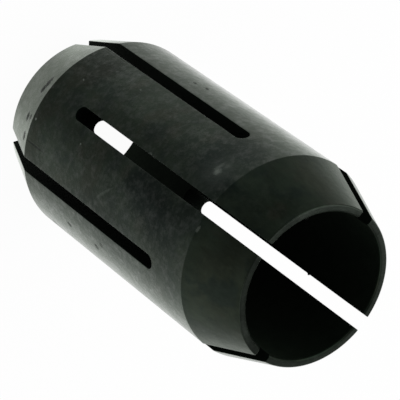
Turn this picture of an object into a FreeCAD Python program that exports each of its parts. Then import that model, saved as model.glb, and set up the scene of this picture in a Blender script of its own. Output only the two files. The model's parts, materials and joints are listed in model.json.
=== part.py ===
import FreeCAD, Part
import math
import os
import Sketcher

# Die grinder collet: one slotted steel sleeve that closes on a round tool shank.
# The bore runs along Z, the tail face stands on Z = 0 and the nose face is on top.
# Both ends taper outside, and the slots from the two ends let the sleeve shrink evenly.
# Lengths are in millimetres and angles in degrees.

DRIVING_SIZES = (
    ("bore_diameter", 6.45, "bore, an easy slide over a 6.35 shank"),
    ("wall_thickness", 1.275, "wall of the plain cylinder between the tapers"),
    ("overall_length", 17.85, "tail face to nose face"),
    ("taper_half_angle", 19.0, "angle of both outer tapers from the bore axis"),
    ("tail_rim_width", 0.38, "flat ring left at the tail face"),
    ("nose_rim_width", 0.33, "flat ring left at the nose face"),
    ("mouth_chamfer", 0.08, "chamfer at both mouths of the bore"),
    ("rim_edge_radius", 0.05, "rounding where a taper meets its end face"),
    ("shoulder_radius", 0.15, "rounding where a taper meets the cylinder"),
    ("slot_count", 4, "slots cut from each end"),
    ("slot_width", 0.65, "width of every slot"),
    ("nose_slot_length", 12.87, "nose face to the closed end of a nose slot"),
    ("tail_slot_length", 12.9, "tail face to the closed end of a tail slot"),
)

BORE_RADIUS = "Sizes.bore_diameter / 2"
CYLINDER_RADIUS = "Sizes.bore_diameter / 2 + Sizes.wall_thickness"
NOSE_RIM_RADIUS = "Sizes.bore_diameter / 2 + Sizes.nose_rim_width"
TAIL_RIM_RADIUS = "Sizes.bore_diameter / 2 + Sizes.tail_rim_width"
NOSE_TAPER = "(Sizes.wall_thickness - Sizes.nose_rim_width) / tan(Sizes.taper_half_angle)"
TAIL_TAPER = "(Sizes.wall_thickness - Sizes.tail_rim_width) / tan(Sizes.taper_half_angle)"

# Heights on the bore axis. An outline runs past its end face by one slot width, so
# that the slot is open there, and the two sets stand half a pitch apart.
SLOTS = {
    "nose_slot": {
        "mouth": "Sizes.overall_length + Sizes.slot_width",
        "round_centre": "Sizes.overall_length - Sizes.nose_slot_length + Sizes.slot_width / 2",
        "turned": "0 deg",
    },
    "tail_slot": {
        "mouth": "-Sizes.slot_width",
        "round_centre": "Sizes.tail_slot_length - Sizes.slot_width / 2",
        "turned": "180 deg / Sizes.slot_count",
    },
}


def make_sheet(doc):
    sheet = doc.addObject("Spreadsheet::Sheet", "Sizes")
    for row, (name, value, note) in enumerate(DRIVING_SIZES, start=1):
        sheet.set(f"A{row}", name)
        sheet.set(f"B{row}", str(value))
        sheet.setAlias(f"B{row}", name)
        sheet.set(f"C{row}", note)
    doc.recompute()


def value_of(item, expression):
    return float(item.evalExpression(expression))


def origin_feature(body, role):
    return next(item for item in body.Origin.OriginFeatures if item.Role == role)


def new_sketch(body, name, plane_role):
    sketch = body.newObject("Sketcher::SketchObject", name)
    sketch.AttachmentSupport = [(origin_feature(body, plane_role), "")]
    sketch.MapMode = "FlatFace"
    return sketch


def spot(across, along):
    return FreeCAD.Vector(across, along, 0)


def constrain(sketch, *rules):
    for rule in rules:
        sketch.addConstraint(Sketcher.Constraint(*rule))


# A named dimension between two points of the sketch, which follows its expression.
def dimension(sketch, name, expression, direction, start, end):
    value = value_of(sketch, expression)
    index = sketch.addConstraint(Sketcher.Constraint(direction, *start, *end, value))
    sketch.renameConstraint(index, name)
    sketch.setExpression(f"Constraints.{name}", expression)


# Half section of the sleeve beside its axis, its six sides in order round the outline.
def draw_section(body):
    sketch = new_sketch(body, "section", "XZ_Plane")
    bore = value_of(sketch, BORE_RADIUS)
    cylinder = value_of(sketch, CYLINDER_RADIUS)
    top = value_of(sketch, "Sizes.overall_length")
    corners = [
        spot(bore, 0),
        spot(bore, top),
        spot(value_of(sketch, NOSE_RIM_RADIUS), top),
        spot(cylinder, top - value_of(sketch, NOSE_TAPER)),
        spot(cylinder, value_of(sketch, TAIL_TAPER)),
        spot(value_of(sketch, TAIL_RIM_RADIUS), 0),
    ]
    bore_wall, nose_face, nose_taper, cylinder_side, tail_taper, tail_face = range(len(corners))
    for start, end in zip(corners, corners[1:] + corners[:1]):
        sketch.addGeometry(Part.LineSegment(start, end), False)
    for side in range(len(corners)):
        constrain(sketch, ("Coincident", side, 2, (side + 1) % len(corners), 1))
    constrain(
        sketch,
        ("Vertical", bore_wall),
        ("Vertical", cylinder_side),
        ("Horizontal", nose_face),
        ("Horizontal", tail_face),
        ("PointOnObject", bore_wall, 1, -1),
    )
    origin = (-1, 1)
    across = (
        ("bore_radius", BORE_RADIUS, origin, (bore_wall, 1)),
        ("cylinder_radius", CYLINDER_RADIUS, origin, (cylinder_side, 2)),
        ("nose_rim_radius", NOSE_RIM_RADIUS, origin, (nose_face, 2)),
        ("tail_rim_radius", TAIL_RIM_RADIUS, origin, (tail_face, 1)),
    )
    along = (
        ("length", "Sizes.overall_length", origin, (nose_face, 1)),
        ("nose_taper_length", NOSE_TAPER, (nose_taper, 2), (nose_taper, 1)),
        ("tail_taper_length", TAIL_TAPER, (tail_taper, 2), (tail_taper, 1)),
    )
    for direction, group in (("DistanceX", across), ("DistanceY", along)):
        for name, expression, start, end in group:
            dimension(sketch, name, expression, direction, start, end)
    return sketch


def turn_sleeve(body):
    section = draw_section(body)
    sleeve = body.newObject("PartDesign::Revolution", "turned_sleeve")
    sleeve.Profile = section
    sleeve.ReferenceAxis = (section, ["V_Axis"])
    sleeve.Angle = 360
    body.Document.recompute()


# Edge names of the turned circles that have one of the given radii.
def circles(feature, *radii):
    wanted = [value_of(feature, expression) for expression in radii]
    names = []
    for number, edge in enumerate(feature.Shape.Edges, start=1):
        if edge.Curve.TypeId != "Part::GeomCircle":
            continue
        if any(math.isclose(edge.Curve.Radius, radius, abs_tol=1e-6) for radius in wanted):
            names.append(f"Edge{number}")
    return names


# A chamfer or a round on the turned circles, its size taken from the sheet.
def finish_edges(body, kind, name, size_name, alias, *radii):
    base = body.Tip
    feature = body.newObject(kind, name)
    feature.Base = (base, circles(base, *radii))
    feature.setExpression(size_name, f"Sizes.{alias}")
    body.Document.recompute()


# A slot's outline from outside: two straight sides, an open mouth and a half circle.
def draw_slot(body, name, mouth, round_centre, turned):
    sketch = new_sketch(body, f"{name}_outline", "YZ_Plane")
    about_bore = FreeCAD.Rotation(spot(0, 1), 0)
    sketch.AttachmentOffset = FreeCAD.Placement(spot(0, 0), about_bore)
    sketch.setExpression("AttachmentOffset.Rotation.Angle", turned)
    half = value_of(sketch, "Sizes.slot_width / 2")
    top = value_of(sketch, mouth)
    centre = value_of(sketch, round_centre)
    opens_up = top > centre
    if opens_up:
        half_turn, left_join, right_join = (math.pi, 2 * math.pi), 1, 2
    else:
        half_turn, left_join, right_join = (0, math.pi), 2, 1
    circle = Part.Circle(spot(0, centre), FreeCAD.Vector(0, 0, 1), half)
    sketch.addGeometry(Part.LineSegment(spot(-half, centre), spot(-half, top)), False)
    sketch.addGeometry(Part.LineSegment(spot(-half, top), spot(half, top)), False)
    sketch.addGeometry(Part.LineSegment(spot(half, top), spot(half, centre)), False)
    sketch.addGeometry(Part.ArcOfCircle(circle, *half_turn), False)
    left, open_side, right, round_end = range(4)
    constrain(
        sketch,
        ("Coincident", left, 2, open_side, 1),
        ("Coincident", open_side, 2, right, 1),
        ("Tangent", left, 1, round_end, left_join),
        ("Tangent", right, 2, round_end, right_join),
        ("Vertical", left),
        ("Horizontal", open_side),
        ("PointOnObject", round_end, 3, -2),
    )
    origin = (-1, 1)
    dimension(sketch, "width", "Sizes.slot_width", "DistanceX", (open_side, 1), (open_side, 2))
    dimension(sketch, "round_centre", round_centre, "DistanceY", origin, (round_end, 3))
    dimension(sketch, "mouth", mouth, "DistanceY", origin, (open_side, 1))
    return sketch


# The outline is cut outward through one wall and repeated round the bore.
def cut_slots(body, name, mouth, round_centre, turned):
    uncut = body.Tip.Shape.Volume
    outline = draw_slot(body, name, mouth, round_centre, turned)
    cut = body.newObject("PartDesign::Pocket", name)
    cut.Profile = outline
    cut.Type = "ThroughAll"
    cut.Reversed = True
    body.Document.recompute()
    if cut.Shape.Volume >= uncut:
        raise RuntimeError(f"{name} cuts nothing")
    ring = body.newObject("PartDesign::PolarPattern", f"{name}_ring")
    ring.Originals = [cut]
    ring.Axis = (origin_feature(body, "Z_Axis"), [""])
    ring.Angle = 360
    ring.setExpression("Occurrences", "Sizes.slot_count")
    body.Tip = ring
    body.Document.recompute()


def make_collet(doc):
    body = doc.addObject("PartDesign::Body", "collet")
    body.Label = "collet"
    turn_sleeve(body)
    finish_edges(body, "PartDesign::Chamfer", "bore_mouths", "Size", "mouth_chamfer", BORE_RADIUS)
    finish_edges(
        body, "PartDesign::Fillet", "rim_edges", "Radius", "rim_edge_radius",
        NOSE_RIM_RADIUS, TAIL_RIM_RADIUS,
    )
    finish_edges(
        body, "PartDesign::Fillet", "shoulders", "Radius", "shoulder_radius",
        CYLINDER_RADIUS,
    )
    for name, places in SLOTS.items():
        cut_slots(body, name, **places)
    return body


def check(doc, parts):
    doc.recompute()
    for item in doc.Objects:
        if "Invalid" in item.State or "Error" in item.State:
            raise RuntimeError(f"{item.Name} did not build: {item.State}")
    for part in parts:
        if part.Shape.isNull() or not part.Shape.isValid():
            raise RuntimeError(f"{part.Label} has no valid shape")


def write(parts):
    os.makedirs("parts", exist_ok=True)
    for part in parts:
        part.Shape.exportStep(f"parts/{part.Label}.step")
        print(part.Label, len(part.Shape.Solids), "solid,", round(part.Shape.Volume, 2), "mm3")


def main():
    doc = FreeCAD.newDocument("die_grinder_collet")
    make_sheet(doc)
    parts = [make_collet(doc)]
    check(doc, parts)
    write(parts)


main()
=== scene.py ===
import json
import math

import bpy
from mathutils import Matrix, Vector


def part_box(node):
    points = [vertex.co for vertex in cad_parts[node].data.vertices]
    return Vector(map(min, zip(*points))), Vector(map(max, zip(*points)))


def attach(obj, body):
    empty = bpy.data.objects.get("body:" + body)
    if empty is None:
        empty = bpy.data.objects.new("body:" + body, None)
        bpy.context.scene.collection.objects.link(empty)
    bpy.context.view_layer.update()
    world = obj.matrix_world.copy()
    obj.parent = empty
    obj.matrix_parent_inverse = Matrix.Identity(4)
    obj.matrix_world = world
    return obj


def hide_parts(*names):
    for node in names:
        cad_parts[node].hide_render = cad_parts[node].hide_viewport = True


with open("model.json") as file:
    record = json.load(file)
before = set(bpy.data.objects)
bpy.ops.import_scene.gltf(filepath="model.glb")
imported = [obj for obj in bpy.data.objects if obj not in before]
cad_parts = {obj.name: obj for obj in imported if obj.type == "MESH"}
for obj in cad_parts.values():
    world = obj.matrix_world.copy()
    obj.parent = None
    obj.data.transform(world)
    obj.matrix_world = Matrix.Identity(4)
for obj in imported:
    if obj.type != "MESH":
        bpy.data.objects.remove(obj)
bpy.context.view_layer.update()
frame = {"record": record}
scene = bpy.context.scene
millimetre = 0.001
seamWidth = 1e-5  # in millimetres: points closer than this are the same point
sliverWidth = 0.002  # edges shorter than this, left by the bevel, are closed up
cornerSteps = 4  # points that round a corner of the turned section
slotEndSteps = 10  # points that round each corner of a slot's closed end
nickDetail = 3  # subdivisions of the balls that make the burr and the notch
print("frame loaded")


# wraps a socket, so that sums on sockets add the Math nodes that work them out
class Wire:
    def __init__(self, tree, node=None, output=0):
        self.tree = tree
        self.node = node
        self.socket = node.outputs[output] if node and node.outputs else None

    # adds any node: its settings first, then the values or links of its sockets
    def add(self, kind, settings=None, values=None, output=0):
        node = self.tree.nodes.new(kind)
        for name, value in (settings or {}).items():
            setattr(node, name, value)
        for name, value in (values or {}).items():
            for item in value if isinstance(value, list) else [value]:
                if isinstance(item, Wire):
                    self.tree.links.new(item.socket, node.inputs[name])
                else:
                    node.inputs[name].default_value = item
        return Wire(self.tree, node, output)

    def out(self, name):
        return Wire(self.tree, self.node, name)

    def maths(self, operation, *others):
        return self.add("ShaderNodeMath", {"operation": operation}, dict(enumerate((self, *others))))

    def __add__(self, other):
        return self.maths("ADD", other)

    __radd__ = __add__

    def __sub__(self, other):
        return self.maths("SUBTRACT", other)

    def __rsub__(self, other):
        return self.add("ShaderNodeMath", {"operation": "SUBTRACT"}, {0: other, 1: self})

    def __mul__(self, other):
        return self.maths("MULTIPLY", other)

    __rmul__ = __mul__

    def __truediv__(self, other):
        return self.maths("DIVIDE", other)

    def __pow__(self, other):
        return self.maths("POWER", other)

    def __abs__(self):
        return self.maths("ABSOLUTE")

    def smallest(self, other):
        return self.maths("MINIMUM", other)

    def largest(self, other):
        return self.maths("MAXIMUM", other)

    # 0 at the first value and 1 at the second, with a soft step between
    def ramp(self, zeroAt, oneAt):
        return self.add("ShaderNodeMapRange", {"interpolation_type": "SMOOTHSTEP"}, {
            0: self,
            1: min(zeroAt, oneAt),
            2: max(zeroAt, oneAt),
            3: 0.0 if zeroAt < oneAt else 1.0,
            4: 1.0 if zeroAt < oneAt else 0.0,
        })


# sizes of the collet in millimetres, the main ones read from the frame
mounts = {mount["name"]: mount for mount in frame["record"]["mounts"]}
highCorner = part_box("collet")[1]
collet = {
    "length": highCorner.z / millimetre,
    "bodyRadius": highCorner.x / millimetre,
    "boreRadius": mounts["shank_bore"]["dims"]["r_mm"],
    "taperDegrees": 19.0,
    "tailRim": 0.38,
    "noseRim": 0.33,
    "mouthChamfer": 0.08,
    "rimRound": 0.08,
    "shoulderRound": 0.15,
    "mouthRound": 0.02,
    "slotCount": 4,
    "slotWidth": 0.65,
    "noseSlotLength": 12.87,
    "tailSlotLength": 12.9,
    "slotEdgeBreak": 0.03,
    "edgeSegments": 2,
    "shadingWeight": 80,  # keeps the flat faces flat beside their broken edges
    # the burr stands on a nose slot's inner edge, the notch is in a tail slot's outer edge
    "burr": {"radius": 3.25, "degrees": 185.6, "height": 13.99, "size": 0.055},
    "notch": {"radius": 4.49, "degrees": -40.9, "height": 10.5, "size": 0.06},
    "turnSteps": 112,  # keeps the turned columns clear of the slot edges
    "rowSpacing": 0.9,
}
wall = collet["bodyRadius"] - collet["boreRadius"]
taperSlope = math.tan(math.radians(collet["taperDegrees"]))
collet["tailTaper"] = (wall - collet["tailRim"]) / taperSlope
collet["noseTaper"] = (wall - collet["noseRim"]) / taperSlope


# half section beside the axis, each point with the radius it is rounded to
def sectionPoints(size):
    bore = size["boreRadius"]
    body = size["bodyRadius"]
    top = size["length"]
    chamfer = size["mouthChamfer"]
    corners = [
        (bore, chamfer, size["mouthRound"]),
        (bore, top - chamfer, size["mouthRound"]),
        (bore + chamfer, top, size["mouthRound"]),
        (bore + size["noseRim"], top, size["rimRound"]),
        (body, top - size["noseTaper"], size["shoulderRound"]),
        (body, size["tailTaper"], size["shoulderRound"]),
        (bore + size["tailRim"], 0, size["rimRound"]),
        (bore + chamfer, 0, size["mouthRound"]),
    ]
    points = []
    for (radius, height, rounding), following in zip(corners, corners[1:] + corners[:1]):
        points.append((radius, height, rounding))
        across = following[0] - radius
        along = following[1] - height
        pieces = max(1, round(math.hypot(across, along) / size["rowSpacing"]))
        for step in range(1, pieces):
            share = step / pieces
            points.append((radius + across * share, height + along * share, 0))
    return points


def sectionObject(size):
    mesh = bpy.data.meshes.new("colletSection")
    points = sectionPoints(size)
    edges = [(index, (index + 1) % len(points)) for index in range(len(points))]
    mesh.from_pydata([(radius, 0, height) for radius, height, rounding in points], edges, [])
    attribute = mesh.attributes.new("rounding", "FLOAT", "POINT")
    attribute.data.foreach_set("value", [point[2] for point in points])
    section = bpy.data.objects.new("colletSection", mesh)
    scene.collection.objects.link(section)
    return section


def newTree(name, inputs):
    tree = bpy.data.node_groups.new(name, "GeometryNodeTree")
    for label, kind in inputs.items():
        tree.interface.new_socket(name=label, in_out="INPUT", socket_type=kind)
    tree.interface.new_socket(name="Geometry", in_out="OUTPUT", socket_type="NodeSocketGeometry")
    given = Wire(tree, tree.nodes.new("NodeGroupInput"))
    return tree, given


# turns a closed section about the Z axis
def turningTree():
    tree, given = newTree("turnSection", {
        "Section": "NodeSocketGeometry",
        "Steps": "NodeSocketInt",
    })
    steps = given.out("Steps")
    outline = given.add("GeometryNodeMeshToCurve", None, {"Mesh": given.out("Section")})
    rounding = given.add("GeometryNodeInputNamedAttribute", {"data_type": "FLOAT"}, {"Name": "rounding"})
    rounded = given.add("GeometryNodeFilletCurve", {"mode": "POLY"}, {
        "Curve": outline,
        "Count": cornerSteps,
        "Radius": rounding,
    })
    count = given.add("GeometryNodeAttributeDomainSize", {"component": "CURVE"}, {0: rounded}, "Point Count")
    rows = count + 1
    grid = given.add("GeometryNodeMeshGrid", None, {"Vertices X": steps + 1, "Vertices Y": rows})
    index = given.add("GeometryNodeInputIndex")
    column = (index / rows).maths("FLOOR")
    sampled = given.add("GeometryNodeSampleIndex", {"data_type": "FLOAT_VECTOR", "domain": "POINT"}, {
        "Geometry": rounded,
        "Value": given.add("GeometryNodeInputPosition"),
        "Index": (index - column * rows).maths("MODULO", count),
    })
    spun = given.add("ShaderNodeVectorRotate", {"rotation_type": "Z_AXIS"}, {
        "Vector": sampled,
        "Angle": column / steps * math.tau,
    })
    placed = given.add("GeometryNodeSetPosition", None, {"Geometry": grid, "Position": spun})
    closed = given.add("GeometryNodeMergeByDistance", None, {"Geometry": placed, "Distance": seamWidth})
    given.add("NodeGroupOutput", None, {"Geometry": closed})
    return tree


# a ring of slot cutters, each a bar with one half-round end, pointing out from the axis
def cutterTree():
    tree, given = newTree("slotCutters", {
        "Width": "NodeSocketFloat",
        "Closed End": "NodeSocketFloat",
        "Open End": "NodeSocketFloat",
        "Reach": "NodeSocketFloat",
        "Count": "NodeSocketInt",
        "Turn": "NodeSocketFloat",
    })
    width = given.out("Width")
    span = given.out("Open End") - given.out("Closed End")
    outline = given.add("GeometryNodeCurvePrimitiveQuadrilateral", {"mode": "RECTANGLE"}, {
        "Width": width,
        "Height": abs(span),
    })
    place = given.add("ShaderNodeSeparateXYZ", None, {0: given.add("GeometryNodeInputPosition")})
    atClosedEnd = (place.out("Y") * span).maths("LESS_THAN", 0)
    rounded = given.add("GeometryNodeFilletCurve", {"mode": "POLY"}, {
        "Curve": outline,
        "Count": slotEndSteps,
        "Radius": atClosedEnd * width * 0.5,
        "Limit Radius": True,
    })
    face = given.add("GeometryNodeFillCurve", {"mode": "NGONS"}, {0: rounded})
    merged = given.add("GeometryNodeMergeByDistance", None, {"Geometry": face, "Distance": seamWidth})
    raised = given.add("GeometryNodeExtrudeMesh", {"mode": "FACES"}, {
        "Mesh": merged,
        "Offset Scale": given.out("Reach"),
        "Individual": False,
    })
    underside = given.add("GeometryNodeFlipFaces", None, {0: merged})
    bar = given.add("GeometryNodeJoinGeometry", None, {0: [raised, underside]})
    whole = given.add("GeometryNodeMergeByDistance", None, {"Geometry": bar, "Distance": seamWidth})
    middle = (given.out("Open End") + given.out("Closed End")) * 0.5
    upright = given.add("GeometryNodeTransform", None, {
        "Geometry": whole,
        "Translation": given.add("ShaderNodeCombineXYZ", None, {"Z": middle}),
        "Rotation": (math.pi / 2, 0, math.pi / 2),
    })
    posts = given.add("GeometryNodePoints", None, {"Count": given.out("Count")})
    share = (given.add("GeometryNodeInputIndex") + given.out("Turn")) / given.out("Count")
    ring = given.add("GeometryNodeInstanceOnPoints", None, {
        "Points": posts,
        "Instance": upright,
        "Rotation": given.add("ShaderNodeCombineXYZ", None, {"Z": share * math.tau}),
    })
    solid = given.add("GeometryNodeRealizeInstances", None, {0: ring})
    given.add("NodeGroupOutput", None, {"Geometry": solid})
    return tree


# the whole collet: the turned sleeve less both rings of slots
def colletTree():
    tree, given = newTree("slottedSleeve", {
        "Section": "NodeSocketGeometry",
        "Steps": "NodeSocketInt",
        "Slot Count": "NodeSocketInt",
        "Slot Width": "NodeSocketFloat",
        "Nose Slot End": "NodeSocketFloat",
        "Tail Slot End": "NodeSocketFloat",
        "Length": "NodeSocketFloat",
        "Reach": "NodeSocketFloat",
        "Material": "NodeSocketMaterial",
    })
    turned = given.add("GeometryNodeGroup", {"node_tree": turningTree()}, {
        "Section": given.out("Section"),
        "Steps": given.out("Steps"),
    })
    cutters = cutterTree()
    width = given.out("Slot Width")
    rings = [
        given.add("GeometryNodeGroup", {"node_tree": cutters}, {
            "Width": width,
            "Closed End": closedEnd,
            "Open End": openEnd,
            "Reach": given.out("Reach"),
            "Count": given.out("Slot Count"),
            "Turn": turn,
        })
        for closedEnd, openEnd, turn in (
            (given.out("Nose Slot End"), given.out("Length") + width, 0.0),
            (given.out("Tail Slot End"), width * -1, 0.5),
        )
    ]
    slotted = given.add("GeometryNodeMeshBoolean", {"operation": "DIFFERENCE", "solver": "EXACT"}, {
        "Mesh 1": turned,
        "Mesh 2": rings,
    })
    marked = given.add("GeometryNodeStoreNamedAttribute", {"data_type": "FLOAT", "domain": "EDGE"}, {
        "Geometry": slotted,
        "Name": "bevel_weight_edge",
        "Value": slotted.out("Intersecting Edges"),
    })
    smooth = given.add("GeometryNodeSetShadeSmooth", {"domain": "FACE"}, {"Geometry": marked})
    whole = given.add("GeometryNodeRealizeInstances", None, {0: smooth})
    finished = given.add("GeometryNodeSetMaterial", None, {
        "Geometry": whole,
        "Material": given.out("Material"),
    })
    given.add("NodeGroupOutput", None, {"Geometry": finished})
    return tree


# a burr left standing and a notch knocked into the slot edges
def nickTree():
    tree, given = newTree("slotNicks", {
        "Geometry": "NodeSocketGeometry",
        "Burr Place": "NodeSocketVector",
        "Burr Size": "NodeSocketFloat",
        "Notch Place": "NodeSocketVector",
        "Notch Size": "NodeSocketFloat",
        "Material": "NodeSocketMaterial",
    })
    burr, notch = (
        given.add("GeometryNodeTransform", None, {
            "Geometry": given.add("GeometryNodeMeshIcoSphere", None, {
                "Radius": given.out(kind + " Size"),
                "Subdivisions": nickDetail,
            }),
            "Translation": given.out(kind + " Place"),
        })
        for kind in ("Burr", "Notch")
    )
    joined = given.add("GeometryNodeMergeByDistance", None, {
        "Geometry": given.out("Geometry"),
        "Distance": sliverWidth,
    })
    flatFaced = given.add("GeometryNodeTriangulate", None, {0: joined})
    notched = given.add("GeometryNodeMeshBoolean", {"operation": "DIFFERENCE", "solver": "EXACT"}, {
        "Mesh 1": flatFaced,
        "Mesh 2": notch,
    })
    nicked = given.add("GeometryNodeMeshBoolean", {"operation": "UNION", "solver": "EXACT"}, {
        "Mesh 2": [notched, burr],
    })
    clean = given.add("GeometryNodeMergeByDistance", None, {"Geometry": nicked, "Distance": sliverWidth})
    smooth = given.add("GeometryNodeSetShadeSmooth", {"domain": "FACE"}, {"Geometry": clean})
    whole = given.add("GeometryNodeRealizeInstances", None, {0: smooth})
    finished = given.add("GeometryNodeSetMaterial", None, {
        "Geometry": whole,
        "Material": given.out("Material"),
    })
    given.add("NodeGroupOutput", None, {"Geometry": finished})
    return tree


def setInputs(modifier, values):
    for item in modifier.node_group.interface.items_tree:
        if item.in_out == "INPUT" and item.name in values:
            modifier[item.identifier] = values[item.name]


# evaluates the modifiers of a helper object into a plain mesh in metres
def plainMesh(source, name):
    graph = bpy.context.evaluated_depsgraph_get()
    mesh = bpy.data.meshes.new_from_object(source.evaluated_get(graph))
    mesh.name = name
    source.modifiers.clear()
    bpy.data.objects.remove(source)
    mesh.transform(Matrix.Scale(millimetre, 4))
    piece = bpy.data.objects.new(name, mesh)
    scene.collection.objects.link(piece)
    return piece


def placeOf(nick):
    turn = math.radians(nick["degrees"])
    return (nick["radius"] * math.cos(turn), nick["radius"] * math.sin(turn), nick["height"])


def makeCollet(size, material):
    section = sectionObject(size)
    sleeve = section.modifiers.new("sleeve", "NODES")
    sleeve.node_group = colletTree()
    setInputs(sleeve, {
        "Steps": size["turnSteps"],
        "Slot Count": size["slotCount"],
        "Slot Width": size["slotWidth"],
        "Nose Slot End": size["length"] - size["noseSlotLength"],
        "Tail Slot End": size["tailSlotLength"],
        "Length": size["length"],
        "Reach": size["bodyRadius"] + size["slotWidth"],
        "Material": material,
    })
    edges = section.modifiers.new("edges", "BEVEL")
    edges.limit_method = "WEIGHT"
    edges.width = size["slotEdgeBreak"]
    edges.segments = size["edgeSegments"]
    edges.use_clamp_overlap = False
    nicks = section.modifiers.new("nicks", "NODES")
    nicks.node_group = nickTree()
    setInputs(nicks, {
        "Burr Place": placeOf(size["burr"]),
        "Burr Size": size["burr"]["size"],
        "Notch Place": placeOf(size["notch"]),
        "Notch Size": size["notch"]["size"],
        "Material": material,
    })
    shading = section.modifiers.new("shading", "WEIGHTED_NORMAL")
    shading.weight = size["shadingWeight"]
    return plainMesh(section, "slottedCollet")


# black oxide on ground steel: linear colours, and lengths in millimetres
# a Noise is a scale, a detail and a roughness; a Fade is where a soft step starts and where it ends
oxide = {
    "green": (0.0112, 0.0160, 0.0112, 1),
    "blue": (0.0060, 0.0094, 0.0084, 1),
    "brown": (0.0150, 0.0158, 0.0112, 1),
    "rim": (0.0150, 0.0185, 0.0150, 1),
    "rimInner": (0.0060, 0.0085, 0.0060, 1),
    # the tail taper's colour is far lighter than the body's: a painted reflection of the pale floor it faces
    "tailTaper": (0.080, 0.091, 0.074, 1),
    # colour of the painted reflection patches on the tail taper's sides
    "tailRub": (0.58, 0.61, 0.57, 1),
    # bore: darker than the skin, a painted shade inside the hollow
    "bore": (0.0060, 0.0092, 0.0062, 1),
    # slot walls: a near-black painted shade inside the narrow slots
    "slotWall": (0.0026, 0.0046, 0.0032, 1),
    "bright": (0.100, 0.115, 0.100, 1),
    "dark": (0.0040, 0.0048, 0.0040, 1),
    "edgeTint": (0.95, 1.0, 0.94, 1),  # the grazing sides stay slightly green
    "cloudNoise": (0.55, 4.0, 0.6),
    "grainNoise": (4.2, 4.0, 0.72),
    "mottleNoise": (2.2, 3.0, 0.6),
    "streakNoise": (1.0, 3.0, 0.65),
    "streakStretch": {"Scale": (3.4, 3.4, 1.1), "Rotation": (0.5, 0.4, 0.9)},
    "hueNoise": (0.6, 3.0, 0.6),
    "raggedNoise": (14.0, 3.0, 0.5),
    "wallFade": (0.012, 0.004),  # from the slot's outline
    "boreFade": (0.05, 0.02),  # from the bore, as is the rim's inner tone
    "rimInnerFade": (0.03, 0.17),
    "rimFade": (-0.03, -0.01),  # from the nose face
    "noseFade": (-0.05, 0.05),  # from the shoulders of the tapers
    "tailFade": (0.03, -0.03),
    "brownFade": (-0.02, -0.14),  # in the hue noise
    "brownShare": 0.5,
    "blueFade": (0.0, 0.14),
    "blueShare": 0.55,
    "boreDepthFade": (9.0, 4.0),  # height in the bore over which painted light makes it lighter near the tail
    "boreDepthTone": 0.7,
    "cloudTone": 1.1,
    "grainTone": -0.1,
    "mottleTone": -0.6,  # darker under the thicker oil
    "streakTone": 0.7,
    "paleTone": 0.6,
    "duskyTone": 0.3,
    "noseTone": 0.1,
    "lineShare": 0.5,
    "roughness": 0.2,
    "wallRoughness": 0.9,
    "cloudRoughness": 0.2,
    "grainRoughness": 0.15,
    "tickRoughness": 0.35,
    "speckRoughness": 0.15,
    "cloudHeight": 0.009,
    "streakShare": 0.5,  # of the height of the clouds
    "mottleHeight": 0.004,
    "grainHeight": 0.007,
    "tickDepth": 0.006,
    "darkLineDepth": 0.004,
    "lightLineDepth": 0.001,
    "oil": 0.15,
    "oilMottle": 1.9,
    "oilGrain": 2.6,
    "oilClouds": 0.5,
    "noseOil": 0.7,  # how much less oil lies on the nose taper
    "oilRoughness": 0.25,
    "oilIor": 1.2,
    "fineRagged": 2.2,  # how far the outlines of marks wander, as shares of the marks' size
    "slowRagged": 3.0,
    "grainRagged": 0.6,
    "tickRagged": 0.6,
    "smudgeRagged": 3.0,
    "lineRagged": 0.5,
    "rubRagged": 0.3,
    "poolRagged": 0.12,
    "patchSoftness": 0.9,
    "tickSoftness": 0.35,
    "speckSoftness": 0.4,
    "smudgeSoftness": 0.9,
    "lineSoftness": 0.4,
    "rubSoftness": 0.5,
    "poolSoftness": 0.4,
}

# places on the outer skin: degrees round from a nose slot, height, length along the bore,
# width round it, lean in degrees and strength; about ten more entries in all turn the shader black
bluePatches = (
    (-19.0, 13.5, 3.4, 2.0, 20, 0.9),
    (18.0, 11.8, 4.2, 2.0, 15, 0.9),
    (-15.0, 9.6, 1.1, 0.8, 0, 0.6),
    (-20.0, 5.6, 2.4, 0.6, 0, 0.5),
    (52.0, 10.0, 6.5, 1.8, 0, 0.9),
    (-33.0, 13.6, 3.0, 1.6, 0, 0.8),
    (52.0, 14.3, 1.6, 2.6, 0, 0.7),
    (128.0, 8.5, 5.0, 2.4, 30, 0.8),
    (-132.0, 14.2, 2.6, 3.4, 0, 0.8),
)
brownPatches = (
    (32.0, 16.4, 3.4, 4.4, 0, 0.45),
    (-60.0, 16.6, 3.0, 1.6, 0, 0.5),
)
palePatches = (
    (29.0, 4.3, 3.0, 2.4, 0, 0.6),
    (-27.0, 8.2, 3.6, 2.0, 0, 0.3),
    (44.0, 16.3, 4.2, 2.8, 0, 1.3),
    (51.0, 15.7, 2.0, 2.4, 0, 2.0),
    (-58.0, 16.2, 3.4, 2.4, 0, 1.0),
    (-16.0, 4.6, 3.0, 1.2, 0, 0.5),
    # the next patch, a pale arc along the nose rim's edge, is edge wear with a painted highlight on it
    (30.0, 17.65, 0.8, 3.6, 0, 0.9),
    (104.0, 12.6, 3.0, 2.2, 0, 0.4),
    (-150.0, 8.0, 4.0, 2.0, 10, 0.35),
)
duskyPatches = (
    (-28.0, 17.3, 1.8, 1.4, 0, 1.0),
    (14.0, 12.4, 4.2, 2.0, 0, 0.8),
    (-37.0, 3.4, 3.0, 2.4, 0, 2.0),
    (55.0, 3.4, 2.6, 2.2, 0, 1.4),
    (24.0, 16.8, 2.6, 1.2, 0, 0.6),
    (30.0, 17.85, 0.4, 4.6, 0, 0.6),
    (80.0, 16.8, 3.4, 2.0, 0, 1.5),
    (-115.0, 15.6, 2.4, 2.6, 0, 0.6),
)
oilPools = (
    (-92.0, 8.5, 60.0, 3.1, 0, 0.85),
)
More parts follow.
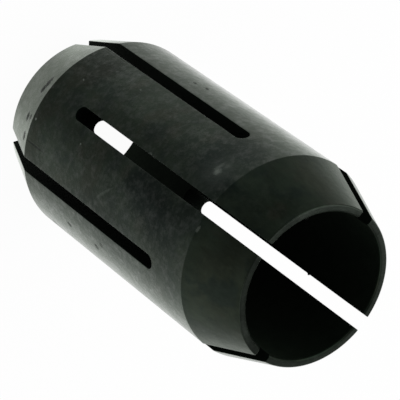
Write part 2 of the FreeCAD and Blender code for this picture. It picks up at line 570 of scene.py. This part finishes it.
# bright patches on the tail taper: painted reflection where its sides mirror the pale floor most
tailSheenPatches = (
    (-58.0, 0.7, 3.6, 2.3, 0, 1.0),
    (59.0, 0.7, 3.6, 2.1, 0, 0.7),
    (128.0, 1.2, 3.4, 1.6, 0, 0.5),
    (-148.0, 1.2, 3.4, 1.8, 0, 0.6),
)
darkTicks = (
    (1.6, 2.00, 0.40, 0.32, 90, 1.0),
    (-3.0, 2.06, 0.62, 0.32, 86, 1.0),
    (20.0, 1.92, 0.42, 0.27, 90, 1.0),
    (18.8, 2.30, 0.32, 0.24, 90, 0.8),
    (30.6, 2.19, 0.42, 0.27, 86, 1.0),
    (80.5, 3.76, 0.42, 0.20, 60, 0.9),
    (64.0, 6.00, 0.30, 0.22, 0, 0.8),
    (64.5, 8.20, 0.30, 0.30, 0, 0.7),
    (59.5, 8.75, 0.26, 0.26, 0, 0.6),
    (-61.3, 8.08, 0.36, 0.15, 25, 0.8),
    (-59.0, 7.42, 0.26, 0.14, 25, 0.7),
    (118.0, 1.40, 0.60, 0.12, 88, 0.9),
    (-160.0, 1.90, 0.50, 0.12, 92, 0.9),
)
lightSpecks = (
    (17.3, 2.81, 0.12, 0.10, 0, 1.0),
    (-15.5, 3.86, 0.12, 0.07, 30, 0.7),
    (-30.2, 6.72, 0.12, 0.08, 0, 0.4),
    (13.3, 6.29, 0.09, 0.08, 0, 0.8),
    # the next speck is a painted glint on a chip in the near nose slot's edge
    (-4.7, 10.33, 0.20, 0.10, 0, 0.32),
    (11.7, 15.15, 0.26, 0.12, 96, 0.4),
    (112.0, 4.70, 0.30, 0.10, 60, 0.4),
    (-98.0, 12.20, 0.24, 0.12, 0, 0.4),
    (160.0, 13.90, 0.40, 0.09, 70, 0.4),
)
smudges = (
    (-17.6, 13.93, 0.30, 0.30, 0, 0.70),
    (-19.6, 13.80, 0.22, 0.60, 0, 0.34),
    (-22.9, 14.08, 0.34, 0.40, 0, 0.22),
    (-16.5, 13.90, 1.10, 1.30, 0, 0.13),
    (124.0, 13.20, 0.60, 0.44, 20, 0.22),
    (-146.0, 5.40, 0.50, 0.80, -30, 0.18),
)
darkLines = (
    (-39.2, 3.60, 2.2, 0.05, 0, 0.8),
    (30.4, 3.35, 1.5, 0.09, 0, 1.0),
)
lightLines = (
    (27.2, 8.88, 1.15, 0.12, 138, 0.33),
    (-120.0, 10.4, 2.4, 0.05, 35, 0.35),
    (140.0, 6.6, 1.8, 0.05, -28, 0.3),
)


def colletMaterial(size, finish):
    material = bpy.data.materials.new("blackenedSteel")
    material.use_nodes = True
    tree = material.node_tree
    shader = tree.nodes["Principled BSDF"]
    start = Wire(tree)
    metres = start.add("ShaderNodeTexCoord", None, None, "Object")
    place = start.add("ShaderNodeVectorMath", {"operation": "SCALE"}, {0: metres, "Scale": 1 / millimetre})
    axes = start.add("ShaderNodeSeparateXYZ", None, {0: place})
    x, y, z = axes.out("X"), axes.out("Y"), axes.out("Z")
    radius = (x * x + y * y) ** 0.5
    around = y.maths("ARCTAN2", x)
    onSkin = start.add("ShaderNodeCombineXYZ", None, {0: around * size["bodyRadius"], 1: z})
    half = size["slotWidth"] / 2

    # distance on the skin from the outline of the nearest slot of one ring
    def slotDistance(turn, centre, direction):
        pitch = math.tau / size["slotCount"]
        fromMiddle = around.maths("WRAP", turn + pitch / 2, turn - pitch / 2) - turn
        across = radius * fromMiddle.maths("SINE")
        along = ((z - centre) * direction).largest(0)
        return (across * across + along * along) ** 0.5 - half

    # soft step at an edge, which starts and ends at the finish's distances from it
    def fade(value, edge, name):
        zeroAt, oneAt = finish[name]
        return value.ramp(edge + zeroAt, edge + oneAt)

    # noise about 0
    def noise(name, mapping=None):
        scale, detail, roughness = finish[name]
        source = start.add("ShaderNodeMapping", None, {"Vector": place, **mapping}) if mapping else place
        return start.add("ShaderNodeTexNoise", None, {
            "Vector": source,
            "Scale": scale,
            "Detail": detail,
            "Roughness": roughness,
        }) - 0.5

    def mix(factor, first, second, blend="MIX"):
        return start.add("ShaderNodeMix", {"data_type": "RGBA", "blend_type": blend}, {
            0: factor,
            6: first,
            7: second,
        }, 2)

    def shade(colour, tone):
        grey = start.add("ShaderNodeCombineColor", None, {0: tone, 1: tone, 2: tone})
        return mix(1.0, colour, grey, "MULTIPLY")

    noseGap = slotDistance(0, size["length"] - size["noseSlotLength"] + half, -1)
    tailGap = slotDistance(math.pi / size["slotCount"], size["tailSlotLength"] - half, 1)
    onWall = fade(noseGap.smallest(tailGap), 0, "wallFade")
    inBore = fade(radius, size["boreRadius"], "boreFade")
    onRim = fade(z, size["length"], "rimFade")
    onNose = fade(z, size["length"] - size["noseTaper"], "noseFade")
    onTail = fade(z, size["tailTaper"], "tailFade")

    clouds = noise("cloudNoise")
    grain = noise("grainNoise")
    mottle = noise("mottleNoise")
    streaks = noise("streakNoise", finish["streakStretch"])
    hue = noise("hueNoise")

    # marks of a given size about places on the skin, with an outline as ragged as is asked
    def marks(table, ragged, softness):
        total = None
        for degrees, height, length, width, lean, strength in table:
            spot = start.add("ShaderNodeMapping", {"vector_type": "TEXTURE"}, {
                "Vector": onSkin,
                "Location": (math.radians(degrees) * size["bodyRadius"], height, 0),
                "Rotation": (0, 0, -math.radians(lean)),
                "Scale": (width / 2, length / 2, 1),
            })
            reach = start.add("ShaderNodeVectorMath", {"operation": "LENGTH"}, {0: spot}, "Value")
            mark = (reach + ragged).ramp(1 + softness, 1 - softness) * strength
            total = total.largest(mark) if total else mark
        return total

    fineWobble = noise("raggedNoise") * finish["fineRagged"]
    slowWobble = (clouds + grain * finish["grainRagged"]) * finish["slowRagged"]
    blueness = marks(bluePatches, slowWobble, finish["patchSoftness"])
    brownness = marks(brownPatches, slowWobble, finish["patchSoftness"])
    paleness = marks(palePatches, slowWobble, finish["patchSoftness"]) * (1 - onRim)
    duskiness = marks(duskyPatches, slowWobble, finish["patchSoftness"])
    darker = marks(darkTicks, fineWobble * finish["tickRagged"], finish["tickSoftness"])
    lighter = marks(lightSpecks, fineWobble * finish["tickRagged"], finish["speckSoftness"])
    lighter = lighter.largest(marks(smudges, grain * finish["smudgeRagged"], finish["smudgeSoftness"]))
    fineDark = marks(darkLines, fineWobble * finish["lineRagged"], finish["lineSoftness"])
    fineLight = marks(lightLines, fineWobble * finish["lineRagged"], finish["lineSoftness"])
    # painted reflection patches on the tail taper
    tailRub = marks(tailSheenPatches, slowWobble * finish["rubRagged"], finish["rubSoftness"])
    oilPool = marks(oilPools, slowWobble * finish["poolRagged"], finish["poolSoftness"]) * (1 - onNose)

    tone = 1 + clouds * finish["cloudTone"] + grain * finish["grainTone"] + streaks * finish["streakTone"]
    tone = tone + mottle * finish["mottleTone"]
    patches = 1 + paleness * finish["paleTone"] - duskiness * finish["duskyTone"]
    tone = tone * (patches - onNose * finish["noseTone"])
    brownish = brownness.largest(fade(hue, 0, "brownFade") * finish["brownShare"])
    skin = mix(brownish, finish["green"], finish["brown"])
    bluish = blueness.largest(fade(hue, 0, "blueFade") * finish["blueShare"])
    skin = mix(bluish, skin, finish["blue"])
    # painted reflection: the tail taper, and the bright patches on its sides, are made far lighter than the
    # body
    skin = mix(onTail, skin, mix(tailRub, finish["tailTaper"], finish["tailRub"]))
    rimTone = fade(radius, size["boreRadius"], "rimInnerFade")
    skin = mix(onRim, skin, mix(rimTone, finish["rimInner"], finish["rim"]))
    skin = shade(skin, tone)
    skin = mix(lighter, skin, finish["bright"])
    skin = mix(fineLight * finish["lineShare"], skin, finish["bright"])
    skin = mix(darker, skin, finish["dark"])
    skin = mix(fineDark, skin, finish["dark"])
    # painted shade darkens the bore, and painted light lightens it toward the tail
    boreShading = (1 + mottle) * (1 + fade(z, 0, "boreDepthFade") * finish["boreDepthTone"])
    skin = mix(inBore, skin, shade(finish["bore"], boreShading))
    # painted shade: the slot walls are turned near black
    skin = mix(onWall, skin, finish["slotWall"])
    tree.links.new(skin.socket, shader.inputs["Base Color"])
    shader.inputs["Metallic"].default_value = 1.0
    shader.inputs["Specular Tint"].default_value = finish["edgeTint"]

    hidden = onWall.largest(inBore)
    oil = finish["oil"] + mottle * finish["oilMottle"] + grain * finish["oilGrain"]
    oil = oil + clouds * finish["oilClouds"] + oilPool
    oil = (oil * (1 - hidden) * (1 - onNose * finish["noseOil"])).largest(0)
    tree.links.new(oil.socket, shader.inputs["Coat Weight"])
    shader.inputs["Coat Roughness"].default_value = finish["oilRoughness"]
    shader.inputs["Coat IOR"].default_value = finish["oilIor"]

    rough = finish["roughness"] + clouds * finish["cloudRoughness"] + grain * finish["grainRoughness"]
    rough = rough + darker * finish["tickRoughness"] + lighter * finish["speckRoughness"]
    rough = rough + hidden * (finish["wallRoughness"] - finish["roughness"])
    tree.links.new(rough.socket, shader.inputs["Roughness"])

    height = grain * finish["grainHeight"]
    height = height + (clouds + streaks * finish["streakShare"]) * finish["cloudHeight"]
    height = height + mottle * finish["mottleHeight"] - darker * finish["tickDepth"]
    height = height - fineDark * finish["darkLineDepth"] - fineLight * finish["lightLineDepth"]
    bump = start.add("ShaderNodeBump", None, {"Distance": millimetre, "Strength": 1.0, "Height": height})
    tree.links.new(bump.socket, shader.inputs["Normal"])
    return material


body = makeCollet(collet, colletMaterial(collet, oxide))
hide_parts("collet")
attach(body, "root")
print("collet made", len(body.data.polygons), "faces")

# camera at the viewing angle of the photo: it looks down past the nose, and is rolled
# its aim and distance are in millimetres, its clip distances in metres
view = {
    "aim": (0.010, -0.075, 9.476),
    "distance": 110.91,
    "azimuth": 90.35,
    "elevation": 47.38,
    "roll": -126.547,
    "lens": 238.62,
    "sensor": 36,
    "clipStart": 0.001,
    "clipEnd": 20,
}


def towards(azimuth, elevation):
    turn = math.radians(azimuth)
    rise = math.radians(elevation)
    return Vector((math.sin(turn) * math.cos(rise), -math.cos(turn) * math.cos(rise), math.sin(rise)))


def makeCamera(settings):
    data = bpy.data.cameras.new("camera")
    data.lens = settings["lens"]
    data.sensor_width = settings["sensor"]
    data.clip_start = settings["clipStart"]
    data.clip_end = settings["clipEnd"]
    camera = bpy.data.objects.new("camera", data)
    scene.collection.objects.link(camera)
    back = towards(settings["azimuth"], settings["elevation"])
    aim = Vector(settings["aim"]) * millimetre
    level = (-back).to_track_quat("-Z", "Y").to_matrix()
    rolled = level @ Matrix.Rotation(math.radians(-settings["roll"]), 3, "Z")
    place = aim + back * settings["distance"] * millimetre
    camera.matrix_world = Matrix.Translation(place) @ rolled.to_4x4()
    scene.camera = camera


makeCamera(view)
print("camera placed")

# floor, surroundings and lamps, in metres: a lamp's share is how much of white it makes a card facing it
# a Fade is the direction in which a soft step starts and where it ends
studio = {
    "floorSize": 3.0,
    "floorWhite": 0.85,
    "floorGlowSeen": 0.96,
    "floorGlowMirrored": 0.92,
    "frontDim": 0.35,  # how much darker the floor in front of the collet mirrors, as near a camera
    "frontFade": (0.8, 0.98),
    "sideDim": 0.2,  # the same for the side away from the strongest lamp
    "sideFade": (-0.8, -1.0),
    "worldLight": 0.55,
    "worldDim": 0.45,  # how much darker the side behind the camera is
    "worldFade": (-0.3, 0.9),
    "lampSize": 0.36,
    "lampDistance": 0.42,
    "lamps": {
        "backLamp": {"azimuth": 312, "elevation": 52, "share": 0.4},
        "leftLamp": {"azimuth": 15, "elevation": 35, "share": 0.35},
        "rightLamp": {"azimuth": 165, "elevation": 35, "share": 0.2},
    },
}


def makeFloor(settings):
    half = settings["floorSize"] / 2
    mesh = bpy.data.meshes.new("floor")
    corners = [(-half, -half, 0), (half, -half, 0), (half, half, 0), (-half, half, 0)]
    mesh.from_pydata(corners, [], [(0, 1, 2, 3)])
    floor = bpy.data.objects.new("floor", mesh)
    scene.collection.objects.link(floor)
    material = bpy.data.materials.new("paleFloor")
    material.use_nodes = True
    tree = material.node_tree
    tree.nodes.clear()
    path = Wire(tree).add("ShaderNodeLightPath")
    seen = path.out("Is Camera Ray") * settings["floorGlowSeen"]
    mirrored = path.out("Is Glossy Ray").largest(path.out("Is Transmission Ray"))
    place = path.add("ShaderNodeTexCoord", None, None, "Object")
    ahead = path.add("ShaderNodeVectorMath", {"operation": "NORMALIZE"}, {0: place})
    sides = path.add("ShaderNodeSeparateXYZ", None, {0: ahead})
    front = sides.out("X").ramp(*settings["frontFade"]) * settings["frontDim"]
    side = sides.out("Y").ramp(*settings["sideFade"]) * settings["sideDim"]
    strength = 1 - front.largest(side) * mirrored
    matt = path.add("ShaderNodeBsdfDiffuse", None, {"Color": (settings["floorWhite"],) * 3 + (1,)})
    glow = path.add("ShaderNodeEmission", None, {"Color": (1, 1, 1, 1), "Strength": strength})
    share = seen.largest(mirrored * settings["floorGlowMirrored"])
    surface = path.add("ShaderNodeMixShader", None, {0: share, 1: matt, 2: glow})
    path.add("ShaderNodeOutputMaterial", None, {"Surface": surface})
    mesh.materials.append(material)


def makeWorld(settings):
    world = bpy.data.worlds.new("studio")
    scene.world = world
    world.use_nodes = True
    tree = world.node_tree
    tree.nodes.clear()
    path = Wire(tree).add("ShaderNodeLightPath")
    seen = path.out("Is Camera Ray")
    mirrored = path.out("Is Glossy Ray").largest(path.out("Is Transmission Ray"))
    direction = path.add("ShaderNodeTexCoord", None, None, "Generated")
    ahead = path.add("ShaderNodeSeparateXYZ", None, {0: direction}, "X")
    dim = ahead.ramp(*settings["worldFade"]) * settings["worldDim"]
    lit = (1 - dim) * (settings["worldLight"] + mirrored * (1 - settings["worldLight"]))
    strength = seen + (1 - seen) * lit
    sky = path.add("ShaderNodeBackground", None, {"Color": (1, 1, 1, 1), "Strength": strength})
    path.add("ShaderNodeOutputWorld", None, {"Surface": sky})


def makeLamp(name, lamp, settings):
    data = bpy.data.lights.new(name, "AREA")
    data.size = settings["lampSize"]
    data.energy = lamp["share"] * math.pi**2 * settings["lampDistance"]**2
    back = towards(lamp["azimuth"], lamp["elevation"])
    fitting = bpy.data.objects.new(name, data)
    scene.collection.objects.link(fitting)
    turn = (-back).to_track_quat("-Z", "Y").to_matrix().to_4x4()
    fitting.matrix_world = Matrix.Translation(back * settings["lampDistance"]) @ turn


makeFloor(studio)
makeWorld(studio)
for lampName, lamp in studio["lamps"].items():
    makeLamp(lampName, lamp, studio)
print("studio set up")

scene.view_settings.view_transform = "Standard"
